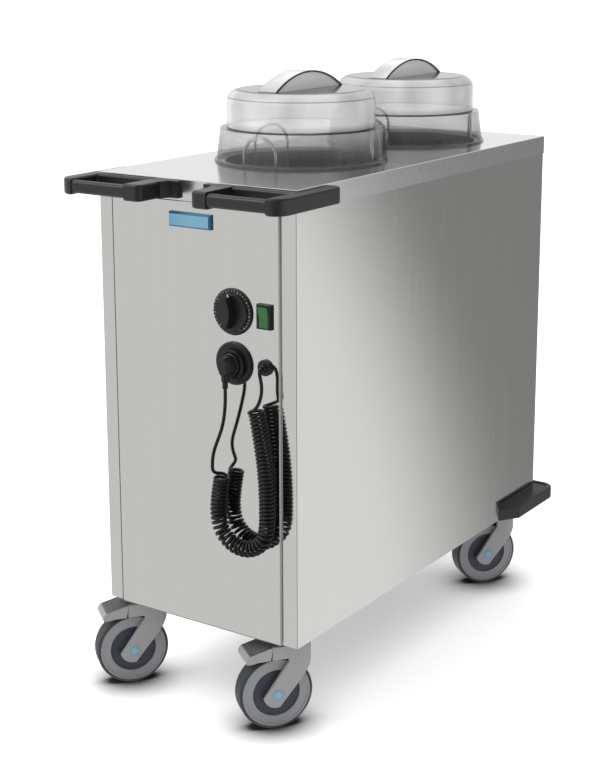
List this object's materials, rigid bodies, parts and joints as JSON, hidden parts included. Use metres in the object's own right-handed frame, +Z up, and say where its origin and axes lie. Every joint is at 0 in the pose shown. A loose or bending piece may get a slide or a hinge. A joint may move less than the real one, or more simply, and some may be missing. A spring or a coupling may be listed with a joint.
{
  "type": "plate dispenser cart",
  "caption": "Heated plate dispenser cart: a tall stainless cabinet on swivel castors with two lidded plate wells, corner push handles, bumpers, dial, switch and a curly cord.",
  "frame": {"origin": "on the floor, under the centre of the cart's outline", "axes": "+Z up, -Y towards the operator's side with the push handles and the controls, +X to the right seen from there"},
  "size_m": [0.4495, 0.977, 1.053],
  "materials": {
    "deck_steel": "polished stainless",
    "panel_steel": "satin brushed stainless",
    "inner_steel": "mill finish stainless",
    "wire_chrome": "polished wire",
    "cover_smoke": "clear smoky polycarbonate",
    "handle_black": "grained black plastic",
    "bumper_black": "moulded black rubber",
    "fitting_black": "black plastic",
    "rocker_green": "translucent green",
    "badge_blue": "plain blue",
    "cord_black": "smooth black sheath",
    "castor_grey": "light grey",
    "plate_zinc": "zinc plated",
    "tyre_charcoal": "charcoal tread",
    "wheel_grey": "grey ring, dark blue disc",
    "axle_blue": "pale blue caps",
    "heater": "heat-stained tube",
    "bakelite": "dark moulding"
  },
  "bodies": {
    "cart": {"deck": "deck_steel", "side_panel_left": "panel_steel", "side_panel_right": "panel_steel", "front_panel": "panel_steel", "rear_panel": "panel_steel", "base_frame": "inner_steel", "corner_posts": "inner_steel", "castor_plates": "plate_zinc", "castor_screws": "plate_zinc", "stack_tube_front": "inner_steel", "stack_tube_rear": "inner_steel", "springs_front": "inner_steel", "springs_rear": "inner_steel", "plate_guides": "wire_chrome", "heating_elements": "heater", "handle_corner_left": "handle_black", "handle_corner_right": "handle_black", "handle_bars": "handle_black", "handle_brackets": "handle_black", "rear_bumper_left": "bumper_black", "rear_bumper_right": "bumper_black", "dial_ring": "fitting_black", "thermostat": "bakelite", "switch_frame": "fitting_black", "parking_socket": "fitting_black", "mains_plug": "fitting_black", "strain_relief": "fitting_black", "cable_gland": "fitting_black", "badge_plate": "badge_blue", "cord_coil": "cord_black", "cord_lead_gland": "cord_black", "cord_lead_plug": "cord_black"},
    "knob": {"control_knob": "fitting_black"},
    "rocker_switch": {"rocker": "rocker_green"},
    "cover_front_body": {"cover_front": "cover_smoke"},
    "platform_front_body": {"platform_front": "inner_steel", "carriage_front": "inner_steel"},
    "cover_rear_body": {"cover_rear": "cover_smoke"},
    "platform_rear_body": {"platform_rear": "inner_steel", "carriage_rear": "inner_steel"},
    "swivel_front_left": {"castor_fork_front_left": "castor_grey", "castor_axle_front_left": "axle_blue"},
    "wheel_front_left": {"tyre_front_left": "tyre_charcoal", "wheel_core_front_left": "wheel_grey"},
    "pedal_front_left": {"brake_pedal_front_left": "castor_grey"},
    "swivel_front_right": {"castor_fork_front_right": "castor_grey", "castor_axle_front_right": "axle_blue"},
    "wheel_front_right": {"tyre_front_right": "tyre_charcoal", "wheel_core_front_right": "wheel_grey"},
    "pedal_front_right": {"brake_pedal_front_right": "castor_grey"},
    "swivel_rear_left": {"castor_fork_rear_left": "castor_grey", "castor_axle_rear_left": "axle_blue"},
    "wheel_rear_left": {"tyre_rear_left": "tyre_charcoal", "wheel_core_rear_left": "wheel_grey"},
    "swivel_rear_right": {"castor_fork_rear_right": "castor_grey", "castor_axle_rear_right": "axle_blue"},
    "wheel_rear_right": {"tyre_rear_right": "tyre_charcoal", "wheel_core_rear_right": "wheel_grey"}
  },
  "joints": [
    {"name": "cover_front_lift", "type": "slide", "parent": "cart", "child": "cover_front_body", "axis": [0, 0, 1], "range_m": [0, 0.15]},
    {"name": "platform_front_slide", "type": "slide", "parent": "cart", "child": "platform_front_body", "axis": [0, 0, 1], "range_m": [-0.48, 0], "stiffness_N_per_m": 800, "springref_m": 0.05, "deforming": ["springs_front"]},
    {"name": "cover_rear_lift", "type": "slide", "parent": "cart", "child": "cover_rear_body", "axis": [0, 0, 1], "range_m": [0, 0.15]},
    {"name": "platform_rear_slide", "type": "slide", "parent": "cart", "child": "platform_rear_body", "axis": [0, 0, 1], "range_m": [-0.48, 0], "stiffness_N_per_m": 800, "springref_m": 0.05, "deforming": ["springs_rear"]},
    {"name": "knob_turn", "type": "hinge", "parent": "cart", "child": "knob", "pos_m": [0.0788, -0.4185, 0.7], "axis": [0, 1, 0], "range_deg": [0, 270]},
    {"name": "rocker_tip", "type": "hinge", "parent": "cart", "child": "rocker_switch", "pos_m": [0.1395, -0.4185, 0.6995], "axis": [1, 0, 0], "range_deg": [-12, 0]},
    {"name": "swivel_front_left_turn", "type": "hinge", "parent": "cart", "child": "swivel_front_left", "pos_m": [-0.152, -0.3565, 0.15], "axis": [0, 0, 1], "continuous": true},
    {"name": "wheel_front_left_roll", "type": "hinge", "parent": "swivel_front_left", "child": "wheel_front_left", "pos_m": [-0.17524, -0.38657, 0.0625], "axis": [-0.7912, 0.6115, 0], "continuous": true},
    {"name": "brake_front_left_press", "type": "hinge", "parent": "swivel_front_left", "child": "pedal_front_left", "pos_m": [-0.17646, -0.38815, 0.139], "axis": [0.7912, -0.6115, 0], "range_deg": [0, 12]},
    {"name": "swivel_front_right_turn", "type": "hinge", "parent": "cart", "child": "swivel_front_right", "pos_m": [0.152, -0.3565, 0.15], "axis": [0, 0, 1], "continuous": true},
    {"name": "wheel_front_right_roll", "type": "hinge", "parent": "swivel_front_right", "child": "wheel_front_right", "pos_m": [0.12876, -0.38657, 0.0625], "axis": [-0.7912, 0.6115, 0], "continuous": true},
    {"name": "brake_front_right_press", "type": "hinge", "parent": "swivel_front_right", "child": "pedal_front_right", "pos_m": [0.12754, -0.38815, 0.139], "axis": [0.7912, -0.6115, 0], "range_deg": [0, 12]},
    {"name": "swivel_rear_left_turn", "type": "hinge", "parent": "cart", "child": "swivel_rear_left", "pos_m": [-0.152, 0.3835, 0.15], "axis": [0, 0, 1], "continuous": true},
    {"name": "wheel_rear_left_roll", "type": "hinge", "parent": "swivel_rear_left", "child": "wheel_rear_left", "pos_m": [-0.17524, 0.35343, 0.0625], "axis": [-0.7912, 0.6115, 0], "continuous": true},
    {"name": "swivel_rear_right_turn", "type": "hinge", "parent": "cart", "child": "swivel_rear_right", "pos_m": [0.152, 0.3835, 0.15], "axis": [0, 0, 1], "continuous": true},
    {"name": "wheel_rear_right_roll", "type": "hinge", "parent": "swivel_rear_right", "child": "wheel_rear_right", "pos_m": [0.12876, 0.35343, 0.0625], "axis": [-0.7912, 0.6115, 0], "continuous": true}
  ]
}
